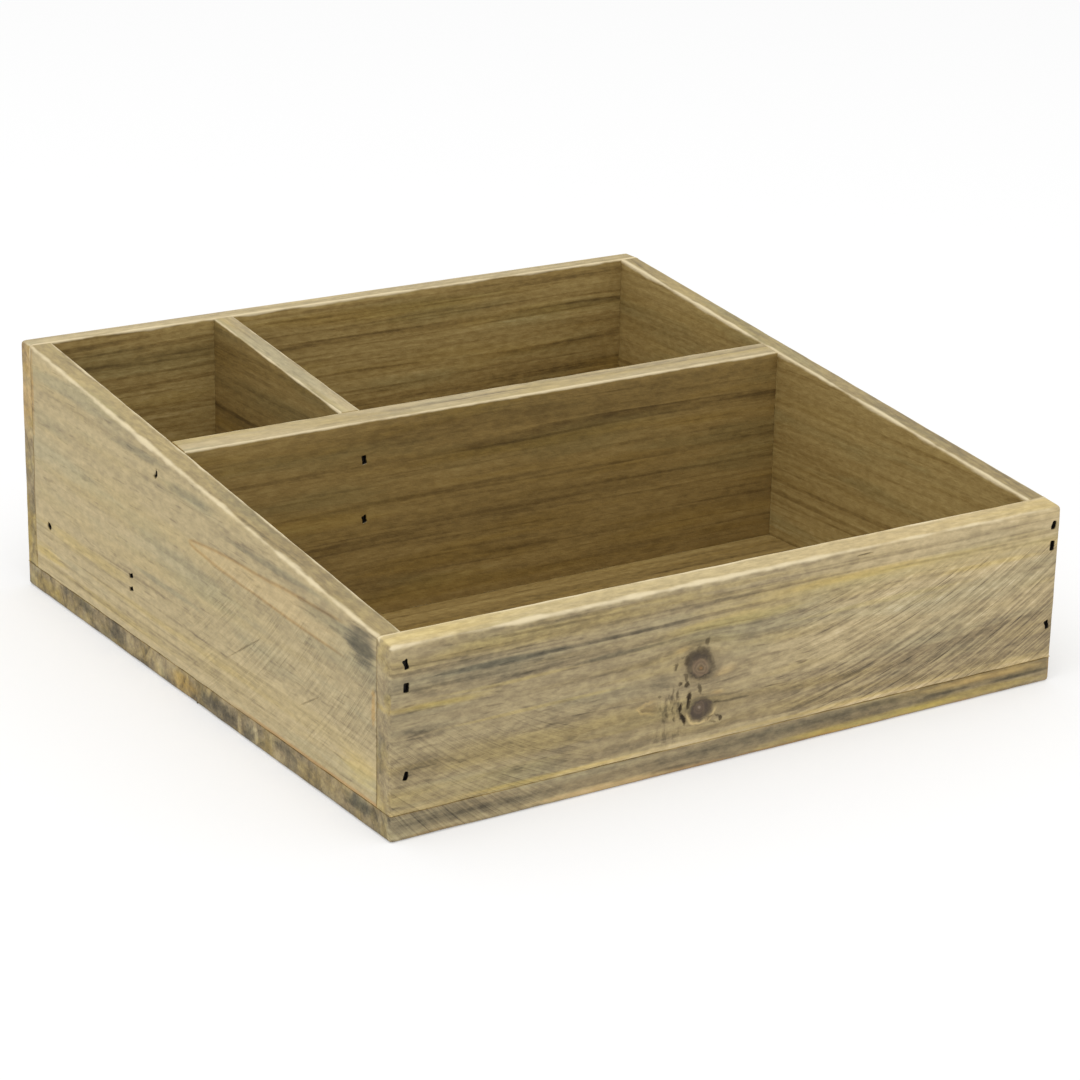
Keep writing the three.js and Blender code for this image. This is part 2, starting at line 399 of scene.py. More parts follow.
def close_group(group, **results):
    """Gives a node group its output sockets, each with the result that fills it."""
    for name, socket in results.items():
        kind = "NodeSocketVector" if socket.type == "VECTOR" else "NodeSocketFloat"
        group.interface.new_socket(name, in_out="OUTPUT", socket_type=kind)
    leaving = group.nodes.new("NodeGroupOutput")
    for name, socket in results.items():
        group.links.new(socket, leaving.inputs[name])
    return group


def from_centre(given):
    """The way along a face from a figure's centre to a point."""
    away = vector_calc("SUBTRACT", given["Place"], given["Centre"])
    return vector_calc("MULTIPLY", away, (1, 1, 0))


def placed(group, inputs):
    """A node group set into a tree, with its own values."""
    return node_of("Group", inputs, node_tree=group).outputs


def make_pine_figure():
    """Growth rings round a wandering pith, long streaks, broad bands and fine fibres."""
    group, given = new_group("pine_figure", ["Place", "Pith"], ["Ring Width", "Wander", "Seed"])
    place, seed = given["Place"], given["Seed"]
    slow = sway(place, size=30, seed=seed, drawn=7, amount=given["Wander"])
    quick = sway(place, size=5, seed=seed, drawn=12, amount=0.9)
    push = vector_calc("MULTIPLY", vector_calc("ADD", slow, quick), (0, 1, 1))
    bent = vector_calc("ADD", place, push)
    from_pith = vector_calc("SUBTRACT", bent, given["Pith"])
    radius = vector_calc("LENGTH", vector_calc("MULTIPLY", from_pith, (0, 1, 1)))
    phase = calc("DIVIDE", radius, given["Ring Width"])
    year = calc("ADD", calc("FLOOR", phase), calc("MULTIPLY", seed, 7.31))
    season = calc("FRACT", phase)
    late = both(ramp(season, 0.4, 0.92), ramp(season, 1.0, 0.95))
    vigour = node_of("TexWhiteNoise", {"W": year}, noise_dimensions="1D").outputs[0]
    fading = ramp(noise(bent, 6, seed, drawn=16), 0.38, 0.62)
    rings = both(late, both(vigour, fading))
    streaks = noise(bent, 5.5, seed, drawn=36, detail=4, roughness=0.62)
    bands = noise(bent, 15, seed, drawn=11, detail=2)
    soft = noise(bent, 1.2, seed, drawn=7, detail=4, roughness=0.7)
    fuzz = ramp(noise(place, 1.9, seed, drawn=2.2, detail=3, roughness=0.62), 0.28, 0.72)
    fibres = calc("ADD", calc("MULTIPLY", soft, 0.6), calc("MULTIPLY", fuzz, 0.4))
    return close_group(group, Place=bent, Rings=rings, Streaks=streaks, Bands=bands, Fibres=fibres)


def make_saw_marks():
    """The arcs that a big saw leaves: fine ridges on circles round a far centre, and lone scratches."""
    group, given = new_group("saw_marks", ["Place", "Centre"], ["Spacing", "Seed"])
    away = from_centre(given)
    radius = vector_calc("LENGTH", away)
    parts = node_of("SeparateXYZ", {0: away}).outputs
    angle = calc("ARCTAN2", parts[0], calc("MULTIPLY", parts[1], -1))
    arc = calc("MULTIPLY", angle, vector_calc("LENGTH", given["Centre"]))
    across = calc("DIVIDE", radius, given["Spacing"])
    polar = node_of("CombineXYZ", {0: arc, 1: across}).outputs[0]
    ridges = ramp(noise(polar, 1, given["Seed"], drawn=30, detail=2, roughness=0.6), *NOISE_RANGE)
    scratches = noise(polar, 0.4, calc("ADD", given["Seed"], 5), drawn=60, detail=1)
    return close_group(group, Ridges=ridges, Scratches=ramp(scratches, 0.6, 0.74))


def make_board_edges():
    """How far a point lies from a board's nearest arris, and how deep it lies under its faces."""
    corners = ["Place", "Low", "High"]
    group, given = new_group("board_edges", corners, ["Top Slope"])
    point, low, high = (node_of("SeparateXYZ", {0: given[name]}).outputs for name in corners)
    behind = calc("SUBTRACT", high[1], point[1])
    top = calc("SUBTRACT", high[2], calc("MULTIPLY", behind, given["Top Slope"]))
    depths = []
    for axis, end in enumerate((high[0], high[1], top)):
        from_low = calc("SUBTRACT", point[axis], low[axis])
        from_high = calc("SUBTRACT", end, point[axis])
        depths.append(calc("MINIMUM", from_low, from_high))
    nearer = calc("MINIMUM", depths[0], depths[1])
    farther = calc("MAXIMUM", depths[0], depths[1])
    second = calc("MAXIMUM", nearer, calc("MINIMUM", farther, depths[2]))
    return close_group(group, Arris=second, Depth=calc("MINIMUM", nearer, depths[2]))


def make_stain_patch():
    """A soft oval patch with an edge as ragged as the grain it soaked into."""
    group, given = new_group("stain_patch", ["Place", "Centre", "Size"], ["Ragged", "Seed"])
    away = vector_calc("DIVIDE", from_centre(given), given["Size"])
    torn = noise(given["Place"], 1.8, given["Seed"], drawn=12, detail=3, roughness=0.6)
    torn = calc("MULTIPLY", calc("SUBTRACT", torn, 0.5), given["Ragged"])
    reach = calc("ADD", vector_calc("LENGTH", away), torn)
    return close_group(group, Mask=ramp(reach, 1.0, 0.25))


pine_figure = make_pine_figure()
saw_marks = make_saw_marks()
board_edges = make_board_edges()
stain_patch = make_stain_patch()

# From the darkest streaks to bare wood: the stain outside, and the browner stain inside.
OUTER_STAIN = (
    (0.0, srgb(78, 69, 54)), (0.2, srgb(116, 104, 81)), (0.4, srgb(150, 134, 103)),
    (0.6, srgb(179, 162, 124)), (0.8, srgb(202, 184, 143)), (1.0, srgb(224, 208, 170)),
)
INNER_STAIN = (
    (0.0, srgb(66, 50, 27)), (0.25, srgb(112, 91, 50)), (0.5, srgb(146, 122, 71)),
    (0.75, srgb(172, 149, 94)), (1.0, srgb(198, 178, 128)),
)
WORN_CREAM = srgb(228, 212, 174)
ORANGE_TAN = srgb(188, 148, 96)
# Near black, painted as the shade down in brad slots, cracks and scratches.
PAINTED_SLOT_SHADE = srgb(16, 12, 9)
# Hues that a stain can be turned towards.
MUSTARD = (1.0, 0.94, 0.6, 1)
ORANGE = (1.0, 0.8, 0.55, 1)
COOL = (0.86, 0.93, 1.0, 1)
# Shares of a normal between which a face comes to look along an axis, and a place beyond all boards.
FACING = (0.6, 0.9)
FAR_OFF = 9999.0


def empty_nodes(holder):
    """The shader nodes of a material or world, with none of them left."""
    holder.use_nodes = True
    holder.node_tree.nodes.clear()
    return holder.node_tree


def in_millimetres(tree):
    """Places on a piece, in millimetres."""
    return vector_calc("MULTIPLY", node_of("TexCoord", {}, tree).outputs["Object"], (1 / MM,) * 3)


def start_pine(node, axes, seed, pith, ring_width, wander=7, sloped=False, worn="", bend=None):
    """Pine for one board. Worn names the faces, as axis and sign, whose arrises are rubbed pale."""
    material = bpy.data.materials.new(node + "_pine")
    tree = empty_nodes(material)
    point = in_millimetres(tree)
    parts = node_of("SeparateXYZ", {0: point}).outputs
    turned = {turn: parts["XYZ".index(axis)] for turn, axis in enumerate(axes)}
    place = node_of("CombineXYZ", turned).outputs[0]
    figure = placed(pine_figure, {
        "Place": bend(place) if bend else place,
        "Pith": pith, "Ring Width": ring_width, "Wander": wander, "Seed": seed,
    })
    low, high = (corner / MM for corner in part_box(node))
    fall = TOP_SLOPE if sloped else 0.0
    faces = {"Place": point, "Low": low, "High": high, "Top Slope": fall}
    edges = placed(board_edges, faces)
    faces["Low"] = [low[i] if axis + "-" in worn else -FAR_OFF for i, axis in enumerate("XYZ")]
    faces["High"] = [high[i] if axis + "+" in worn else FAR_OFF for i, axis in enumerate("XYZ")]
    if "Y+" not in worn:
        faces["High"][2] += fall * (FAR_OFF - high.y)
    rubbed = placed(board_edges, faces)
    normal = node_of("SeparateXYZ", {0: node_of("TexCoord", {}, tree).outputs["Normal"]}).outputs
    facing = calc("ABSOLUTE", normal["XYZ".index(axes[0])])
    return SimpleNamespace(
        material=material, point=dict(zip("XYZ", parts)), place=place, grain=figure["Place"],
        figure=figure, seed=seed, arris=edges["Arris"], depth=edges["Depth"], rubbed=rubbed["Arris"],
        end=ramp(facing, *FACING), up=ramp(normal[2], *FACING),
        level=0.5, height=0.0, inner=0.0, tints=[],
    )


def slope(wood, axis, start, end):
    """A share that rises along an axis, from none at start to all at end, in millimetres."""
    return ramp(wood.point[axis], start, end)


OUTER_SKIN = (3, 1)


def outer_face(wood, axis, way):
    """Where a board's wood lies at the caddy's outer face, on its low side or its high side."""
    face = (caddy_high if way > 0 else caddy_low)["XYZ".index(axis)] / MM
    return slope(wood, axis, *(face - way * depth for depth in OUTER_SKIN))


def shade(wood, share, amount):
    """Makes the stain paler, or darker by an amount below nothing, where a share says."""
    wood.level = calc("MULTIPLY_ADD", share, amount, wood.level)


def tint(wood, share, colour, amount=1.0, blend="MIX"):
    """Keeps a colour to be laid over the stain, where a share says."""
    wood.tints.append((calc("MULTIPLY", share, amount), colour, blend))


def tone(wood, share, colour, amount=1.0):
    """Turns the stain towards another hue, where a share says."""
    tint(wood, share, colour, amount, "MULTIPLY")


def dye(wood, share, change, *hue):
    """Changes the level of the stain, where a share says, and its hue, if one is named with its amount."""
    shade(wood, share, change)
    if hue:
        tone(wood, share, *hue)


def in_plane(wood, plane):
    """Places in millimetres on the faces that lie in a plane, named by its two axes."""
    return node_of("CombineXYZ", {i: wood.point[axis] for i, axis in enumerate(plane)}).outputs[0]


def patch(wood, centre, size, ragged=0.9, plane=None):
    """A ragged patch in millimetres, along and across the grain or on the faces in a plane."""
    return placed(stain_patch, {
        "Place": in_plane(wood, plane) if plane else wood.grain, "Centre": (*centre, 0), "Size": (*size, 1),
        "Ragged": ragged, "Seed": wood.seed,
    })["Mask"]


def stain(wood, spots, where=1.0, ragged=0.9, plane=None):
    """Patches of stain: each has a centre, a size, a change of level, and a hue with its amount or none."""
    for centre, size, *change in spots:
        dye(wood, both(patch(wood, centre, size, ragged, plane), where), *change)


FIBRE_RELIEF = 0.2
STREAK_RELIEF = 0.15
SAW_RELIEF = 0.3


def grow(wood, level, rings=0.2, streaks=0.55, bands=0.3, fibres=0.5, warmth=0.5):
    """The figure of the wood under its stain, round a middle level."""
    figure = wood.figure
    wood.level = level
    for share, amount in (("Streaks", streaks), ("Bands", bands), ("Fibres", fibres)):
        shade(wood, calc("SUBTRACT", figure[share], 0.5), amount)
    shade(wood, figure["Rings"], -rings)
    warm = noise(wood.grain, 9, wood.seed + 11, drawn=12, detail=3)
    tone(wood, ramp(warm, 0.48, 0.68), MUSTARD, warmth)
    cool = noise(wood.grain, 11, wood.seed + 12, drawn=8, detail=3)
    tone(wood, ramp(cool, 0.5, 0.66), COOL, 0.7)
    wood.height = calc("MULTIPLY", figure["Fibres"], FIBRE_RELIEF)
    wood.height = calc("MULTIPLY_ADD", figure["Streaks"], STREAK_RELIEF, wood.height)


def saw(wood, plane, centre, where, spacing, strength):
    """Saw marks across the faces that lie in a plane, where a share says."""
    marks = placed(saw_marks, {
        "Place": in_plane(wood, plane), "Centre": (*centre, 0), "Spacing": spacing, "Seed": wood.seed + 3,
    })
    ridges = both(calc("SUBTRACT", marks["Ridges"], 0.5), where)
    shade(wood, ridges, strength)
    shade(wood, both(marks["Scratches"], where), -strength)
    wood.height = calc("MULTIPLY_ADD", ridges, SAW_RELIEF, wood.height)


def soak_ends(wood, amount, mottle, gold=0.7):
    """Dark, mottled end grain, where the stain soaked in deepest."""
    spots = noise(wood.place, 8, wood.seed + 21, detail=4, roughness=0.62)
    spots = calc("MULTIPLY_ADD", calc("SUBTRACT", spots, 0.5), mottle * 2, -amount)
    shade(wood, both(wood.end, spots), 1.0)
    yellow = ramp(noise(wood.place, 12, wood.seed + 22, detail=2), 0.5, 0.64)
    tone(wood, both(wood.end, yellow), MUSTARD, gold)


def rub(wood, width, amount=0.85, top=0.15, colour=WORN_CREAM, where=1.0):
    """Pale arrises and tops, where hands and sandpaper took the stain off again."""
    shade(wood, wood.up, top)
    chance = noise(wood.place, 6, wood.seed + 31, drawn=3, detail=3, roughness=0.6)
    reach = calc("MULTIPLY_ADD", calc("SUBTRACT", chance, 0.5), -2.4 * width, wood.rubbed)
    tint(wood, both(ramp(reach, width, 0.2 * width), where), colour, amount)


def grime(wood, amount=0.3):
    """Dirt in the joints between the boards, and none on the arrises that are rubbed."""
    joint = both(ramp(wood.arris, 0.8, 0.2), ramp(wood.rubbed, 1.0, 2.5))
    shade(wood, joint, -amount)


INNER_SKIN = 0.5
INNER_FADE = 0.4


def inside(wood, axis, face, way):
    """Gives the browner stain to a face that looks into the caddy, up or down an axis."""
    start = face / MM - way * INNER_SKIN
    wood.inner = slope(wood, axis, start, start + way * INNER_FADE)


def stained(steps, level):
    """The colour of a stain at each level."""
    made = node_of("ValToRGB", {0: level})
    for spare in list(made.color_ramp.elements)[1:]:
        made.color_ramp.elements.remove(spare)
    first, *others = steps
    made.color_ramp.elements[0].position, made.color_ramp.elements[0].color = first
    for position, colour in others:
        made.color_ramp.elements.new(position).color = colour
    return made.outputs[0]


HOLE_DEPTHS = (0.05, 0.6)
HOLE_FROM_ARRIS = (1.8, 2.05)
WOOD_ROUGHNESS = (0.66, 0.86)
WOOD_GLOSS = 0.25


def close_pine(wood):
    """Turns a board's levels of stain, its tints and its relief into a finished material, with painted
    shade in near black wherever the wood lies deep below its faces, in brad slots, cracks and scratches.
    """
    outer, inner = (stained(steps, wood.level) for steps in (OUTER_STAIN, INNER_STAIN))
    colour = mixed(wood.inner, outer, inner)
    for share, over, blend in wood.tints:
        colour = mixed(share, colour, over, blend)
    # Painted shade: wood that lies deep below the board's faces, in slots, cracks and scratches, is
    # darkened to near black.
    hole = both(ramp(wood.depth, *HOLE_DEPTHS), ramp(wood.arris, *HOLE_FROM_ARRIS))
    colour = mixed(hole, colour, PAINTED_SLOT_SHADE)
    rough = ramp(wood.figure["Fibres"], *NOISE_RANGE, *WOOD_ROUGHNESS)
    bump = node_of("Bump", {"Strength": 1.0, "Distance": MM, "Height": wood.height}).outputs[0]
    shader = node_of("BsdfPrincipled", {"Base Color": colour, "Roughness": rough, "Normal": bump})
    shader.inputs["Specular IOR Level"].default_value = WOOD_GLOSS
    node_of("OutputMaterial", {"Surface": shader.outputs[0]})
    return wood.material


PLANK_AXES = "XYZ"
BASE_SAW_CENTRE = (-15, 110)
# Stains on a face: centre and size in millimetres, change of level, and a hue with its amount.
FRONT_EDGE_STAINS = (
    ((0, 6.0), (48, 4.2), -0.05, COOL, 0.4), ((45, 7.2), (50, 2.6), -0.11, COOL, 0.5),
    ((55, 1.8), (64, 2.2), 0.22, MUSTARD, 1.0), ((100, 2.6), (48, 2.8), 0.1, MUSTARD, 0.8),
    ((30, 0.6), (70, 1.0), 0.04, ORANGE, 0.5), ((110, 7.8), (40, 2.0), 0.14, ORANGE, 0.45),
    ((126, 4.9), (20, 1.1), -0.28, COOL, 0.5), ((92, 5.4), (16, 0.9), -0.18),
    ((122, 0.8), (16, 1.2), -0.14), ((-58, 1.5), (42, 1.9), 0.3, ORANGE, 0.5),
    ((-28, 2.2), (16, 1.0), -0.16), ((-100, 4.5), (38, 3.4), -0.1, COOL, 0.5),
    ((-122, 0.8), (20, 1.2), -0.05, ORANGE, 0.5), ((-30, 5.6), (40, 1.2), -0.08),
)
LEFT_END_STAINS = (
    ((88, 7.4), (11, 3.0), -0.24, COOL, 0.5), ((59, 4.8), (12, 5.2), -0.16, COOL, 0.4),
    ((122, 4.0), (20, 5.0), 0.05, MUSTARD, 0.7), ((6, 4.5), (13, 5.5), 0.1, ORANGE, 0.45),
    ((6, 4.5), (13, 5.5), 0.0, MUSTARD, 0.6), ((25.5, 4.5), (7, 4.5), 0.16),
    ((-20, 4.8), (17, 5.5), -0.16, COOL, 0.5), ((-36.5, 4), (1.8, 5), 0.24),
    ((-48.8, 4), (1.8, 5), 0.24), ((-63, 6.6), (13, 3.0), -0.1, COOL, 0.4),
    ((-83, 4.5), (10, 4.0), 0.07, MUSTARD, 0.4), ((-119, 6.2), (13, 3.4), -0.24, COOL, 0.9),
    ((40, 1.4), (13, 2.2), -0.16),
)
for node, seed, pith, worn in (
    ("base_plank_front", 1.0, (0, -70, -30), "X-X+Y-Z-"), ("base_plank_back", 2.0, (0, 62, 34), "X-X+Y+Z-"),
):
    plank = work_board(node, PLANK_AXES)
    wood = start_pine(node, PLANK_AXES, seed, pith, ring_width=4.2, worn=worn)
    grow(wood, level=0.48, streaks=0.9)
    front_edge = outer_face(wood, "Y", -1)
    left_end = outer_face(wood, "X", -1)
    sawn = both(slope(wood, "X", -60, -95), front_edge)
    saw(wood, "XZ", BASE_SAW_CENTRE, sawn, spacing=1.2, strength=0.2)
    inside(wood, "Z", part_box(node)[1].z, 1)
    soak_ends(wood, 0.08, 0.38, gold=0.35)
    stain(wood, FRONT_EDGE_STAINS, front_edge, plane="XZ")
    stain(wood, LEFT_END_STAINS, left_end, ragged=1.3, plane="YZ")
    # Partly painted contact shadow, partly darker wood: the left end is darker along its bottom edge, where
    # the base meets the floor.
    shade(wood, both(left_end, slope(wood, "Z", 1.8, 0.4)), -0.12)
    grime(wood, 0.03)
    rub(wood, width=1.6, amount=0.45, top=0.0, colour=ORANGE_TAN, where=slope(wood, "X", -75, -35))
    set_board(plank, node, close_pine(wood))

# Front board: one sawn pine board, lapped over the ends of both sides and nailed into them, with its top
# planed to the caddy's slope. Two knots grew close together left of its middle, with bark cracks beside
# them, and the saw left arcs over its right half.

WALL_AXES = "XZY"
# Two knots: centre and size in millimetres, turn, and the place of the heart.
KNOTS = (
    ((-19.2, 38.2), (6.3, 4.9), math.radians(45), (-18.8, 36.8)),
    ((-17.9, 21.7), (4.2, 3.7), 0.0, (-18.8, 22.4)),
)
KNOT_RISE = 0.3 * MM
KNOT_BEND = 0.7
KNOT_BEND_NEAR = (0.45, 0.6)
CRACK_RAGGED = 0.12
CRACK_DEPTH = 0.35
CRACK_SEED = 5
# Cracks and dark bark: start and end in millimetres, width, and how strongly the bark shows.
FRONT_CRACKS = (
    ((-26.7, 25.4), (-26.9, 21.4), 0.7), ((-27.1, 22.4), (-24.2, 17.4), 1.8),
    ((-22.8, 28.8), (-24.0, 22.9), 0.9), ((46, 65.2), (54, 65.4), 0.8),
)
BARK_RAGGED = 1.6
BARK_EDGE = (1.15, 0.45)
BARK_MARKS = (
    ((-26.5, 25.4), (-26.8, 22.0), 2.0, 0.95), ((-27.0, 22.4), (-24.2, 17.1), 2.7, 1.0),
    ((-22.9, 29.1), (-23.4, 25.4), 2.2, 0.95), ((-23.3, 26.4), (-23.9, 22.5), 1.9, 0.85),
    ((-25.2, 36.2), (-24.7, 33.0), 1.7, 0.65), ((-24.7, 33.2), (-24.0, 30.6), 2.3, 0.9),
    ((-27.9, 31.6), (-26.5, 33.2), 1.8, 0.8), ((-30.0, 32.2), (-30.1, 25.4), 1.1, 0.45),
    ((-28.0, 30.5), (-27.6, 26.8), 1.3, 0.65), ((-29.5, 37.8), (-28.5, 40.6), 1.8, 0.7),
    ((-27.4, 41.5), (-25.4, 42.2), 1.0, 0.35), ((-19.2, 31.0), (-18.6, 27.5), 2.2, 0.75),
    ((-15.4, 47.3), (-16.8, 44.4), 2.1, 0.7), ((-33.0, 23.1), (-31.7, 21.8), 1.7, 0.55),
    ((-36.0, 29.1), (-34.8, 29.6), 1.6, 0.45), ((-34.9, 26.4), (-35.1, 24.0), 1.2, 0.4),
    ((-30.9, 28.2), (-30.7, 25.8), 1.0, 0.4), ((-30.0, 24.9), (-29.8, 22.6), 1.2, 0.5),
    ((-34.6, 21.3), (-33.0, 20.0), 1.2, 0.45), ((-29.7, 21.0), (-28.6, 19.3), 1.7, 0.6),
    ((-15.7, 16.8), (-12.1, 18.7), 1.0, 0.55), ((-12.1, 18.7), (-9.2, 16.5), 1.2, 0.65),
    ((-15.0, 16.2), (-10.7, 15.6), 1.0, 0.5), ((-10.6, 17.3), (-8.9, 16.2), 2.1, 0.8),
    ((-25.2, 38.8), (-23.6, 42.4), 2.7, 0.55), ((-22.0, 43.7), (-15.6, 43.4), 2.1, 0.5),
    ((-13.4, 22.6), (-10.6, 22.8), 1.3, 0.55),
)


def crack(board, outwards, start, end, width, depth=CRACK_DEPTH):
    """Cuts a long ragged lens into a face that looks outwards, from start to end, in millimetres."""
    start, end = (Vector(spot) * MM for spot in (start, end))
    along = (end - start).normalized()
    across = outwards.cross(along)
    bpy.ops.mesh.primitive_uv_sphere_add(segments=14, ring_count=7, radius=1, location=(start + end) / 2)
    cutter = bpy.context.active_object
    bpy.ops.object.mode_set(mode="EDIT")
    bpy.ops.mesh.select_all(action="SELECT")
    bpy.ops.transform.vertex_random(offset=CRACK_RAGGED, seed=CRACK_SEED)
    bpy.ops.object.mode_set(mode="OBJECT")
    cutter.scale = ((end - start).length / 2, width / 2 * MM, depth * MM)
    cutter.rotation_euler = Matrix((along, across, outwards)).transposed().to_euler()
    bpy.ops.object.transform_apply(location=True, rotation=True, scale=True)
    cut_with(board, cutter)
    bpy.data.objects.remove(cutter)


def bend_round_knots(place):
    """Pushes the grain aside where it flows round the two knots."""
    for centre, size, *_ in KNOTS:
        away = vector_calc("SUBTRACT", place, (*centre, 0))
        shares = [near / reach for near, reach in zip(KNOT_BEND_NEAR, size)]
        near = vector_calc("LENGTH", vector_calc("MULTIPLY", away, (*shares, 0)))
        push = calc("EXPONENT", calc("MULTIPLY", calc("MULTIPLY", near, near), -1))
        shift = vector_times(vector_calc("MULTIPLY", away, (0, -KNOT_BEND, 0)), push)
        place = vector_calc("ADD", place, shift)
    return place


def turned(way, angle):
    """A way along the front, turned by an angle."""
    return node_of("VectorRotate", {"Vector": way, "Angle": angle}, rotation_type="Z_AXIS").outputs[0]


def make_pine_knot():
    """How far a point lies from a knot's heart, from none to one at its rim, with wavering rounds."""
    group, given = new_group("pine_knot", ["Place", "Centre", "Size"], ["Turn", "Torn", "Seed"])
    away = vector_calc("DIVIDE", turned(from_centre(given), given["Turn"]), given["Size"])
    torn = noise(given["Place"], 5, given["Seed"], detail=5, roughness=0.6)
    torn = calc("MULTIPLY", calc("SUBTRACT", torn, 0.5), given["Torn"])
    return close_group(group, Reach=calc("ADD", vector_calc("LENGTH", away), torn))


pine_knot = make_pine_knot()


def knot_reach(wood, centre, size, turn, seed, torn):
    """How far each point lies from a knot's heart, against the knot's own size."""
    return placed(pine_knot, {
        "Place": wood.place, "Centre": (*centre, 0), "Size": (*size, 1),
        "Turn": turn, "Torn": torn, "Seed": seed,
    })["Reach"]


def bark_mark(place, torn, start, end, width):
    """A dark smudge of bark, drawn out from start to end on the front, with sides as ragged as a noise."""
    middle = (Vector(start) + Vector(end)) / 2
    way = Vector(end) - Vector(start)
    away = vector_calc("SUBTRACT", place, (*middle, 0))
    away = turned(away, -math.atan2(way.y, way.x))
    away = vector_calc("MULTIPLY", away, (2 / way.length, 2 / width, 0))
    reach = calc("SUBTRACT", vector_calc("LENGTH", away), BARK_RAGGED / 2)
    return ramp(calc("MULTIPLY_ADD", torn, BARK_RAGGED, reach), *BARK_EDGE)


def tongue(behind_tip, off_axis, spread):
    """How far a point lies outside a tongue of grain, in millimetres, which widens behind its tip."""
    behind_tip = calc("MAXIMUM", behind_tip, 0.0)
    half = calc("MULTIPLY", calc("SQRT", behind_tip), spread)
    return calc("SUBTRACT", calc("ABSOLUTE", off_axis), half)


def fine_lines(wood, where, amount):
    """Long thin dark lines along the grain, where a share says."""
    lines = noise(wood.grain, 1.5, wood.seed + 61, drawn=60, detail=1)
    shade(wood, both(ramp(lines, 0.5, 0.68), where), -amount)


def grain_dashes(wood, where, amount):
    """Short dark dashes along the grain, where a share says."""
    dashes = noise(wood.grain, 1.2, wood.seed + 40, drawn=9, detail=1)
    shade(wood, both(ramp(dashes, 0.6, 0.72), where), -amount)


def rough_grain(wood, where, amount):
    """Torn strokes across the grain, pale and dark, where a share says."""
    strokes = noise(wood.place, 3.4, wood.seed + 46, drawn=0.45, detail=2)
    shade(wood, both(ramp(strokes, 0.5, 0.66), where), -amount)
    shade(wood, both(ramp(strokes, 0.48, 0.36), where), amount / 2)


def outline(reach, at, width):
    """A line round a figure, where its reach is near a value."""
    return both(ramp(reach, at - width, at), ramp(reach, at + width, at))


# The rounds of a knot, from its heart to its rim.
KNOT_ROUNDS = (
    (0.0, srgb(150, 108, 66)), (0.1, srgb(126, 96, 64)), (0.18, srgb(94, 80, 58)),
    (0.3, srgb(134, 113, 88)), (0.42, srgb(108, 91, 72)), (0.54, srgb(128, 107, 84)),
    (0.68, srgb(88, 75, 60)), (0.86, srgb(72, 62, 50)), (1.0, srgb(86, 74, 56)),
)
BARK_BROWN = srgb(64, 52, 34)
KNOT_BROWN = srgb(82, 70, 60)
KNOT_HEART = srgb(142, 126, 108)
PINK = (1.0, 0.98, 0.97, 1)
RIGHT_SAW_CENTRE = (-25, 290)
LEFT_SAW_CENTRE = (-20, 160)
LOOP_TIP = (-44.2, 28.0)
LOOP_SPREAD = 0.85
LOOP_WANDER = 3.4
FRONT_STAINS = (
    ((-98, 55.4), (40, 1.5), -0.22, COOL, 0.8), ((-54, 55.4), (40, 1.0), -0.2),
    ((-90, 50), (24, 1.3), -0.18), ((-54, 49.2), (28, 1.1), -0.2, COOL, 0.6),
    ((-100, 61), (52, 1.1), -0.12), ((-60, 65), (50, 0.9), -0.12), ((70, 62.8), (70, 0.9), -0.2),
    ((90, 57), (45, 0.8), -0.18), ((20, 59.6), (60, 0.7), -0.12), ((-128, 37), (12, 4), -0.14),
    ((-128, 24), (12, 7), -0.12), ((-60, 43), (40, 1.2), -0.1), ((-25.6, 28), (2, 4.5), 0.12),
    ((20, 43), (38, 0.8), -0.12), ((20, 30), (40, 9), 0.09), ((-34.5, 35.2), (8, 3.6), -0.1, COOL, 0.3),
    ((-26.5, 43.2), (4.5, 1.8), 0.12, ORANGE, 0.3), ((-8.5, 35.3), (7, 1.7), 0.13, ORANGE, 0.3),
    ((-11.3, 27), (4.5, 1.7), 0.13, ORANGE, 0.4), ((-6, 31.7), (11, 0.6), -0.18),
    ((9, 36), (14, 0.7), -0.18), ((-4, 22.8), (11, 0.6), -0.22),
    ((-80, 62), (75, 4.5), 0.03, MUSTARD, 0.5), ((-124, 46.3), (28, 2.0), 0.16, MUSTARD, 1.0),
    ((-95, 48.5), (40, 1.1), 0.05, MUSTARD, 0.5), ((-85, 36.8), (55, 1.0), 0.08, MUSTARD, 0.5),
    ((-4, 51.6), (40, 3.4), 0.15, MUSTARD, 0.7), ((60, 57.5), (65, 2.2), 0.06, MUSTARD, 0.6),
    ((110, 51), (34, 1.5), 0.06, MUSTARD, 0.6), ((60, 46), (55, 1.4), 0.04, MUSTARD, 0.4),
    ((-75, 11), (45, 1.3), 0.07, MUSTARD, 0.7), ((40, 11.5), (90, 1.2), 0.06, MUSTARD, 0.5),
    ((-10, 64.5), (60, 1.4), 0.08, MUSTARD, 0.3),
)

node = "front_board"
board = work_board(node, WALL_AXES, sloped=True)
forwards = Vector((0, -1, 0))
front_face = front_board_low.y / MM
for centre, size, *_ in KNOTS:
    crown = Vector((centre[0], front_face, centre[1])) * MM
    nearest = min(board.data.vertices, key=lambda vertex: (vertex.co - crown).length).index
    pick(board)
    clear_selection(board.data)
    board.data.vertices[nearest].select = True
    bpy.context.tool_settings.mesh_select_mode = (True, False, False)
    bpy.ops.object.mode_set(mode="EDIT")
    bpy.ops.transform.translate(
        value=forwards * KNOT_RISE, use_proportional_edit=True, proportional_edit_falloff="SMOOTH",
        proportional_size=max(size) * MM,
    )
    bpy.ops.object.mode_set(mode="OBJECT")
for start, end, width in FRONT_CRACKS:
    crack(board, forwards, (start[0], front_face, start[1]), (end[0], front_face, end[1]), width)

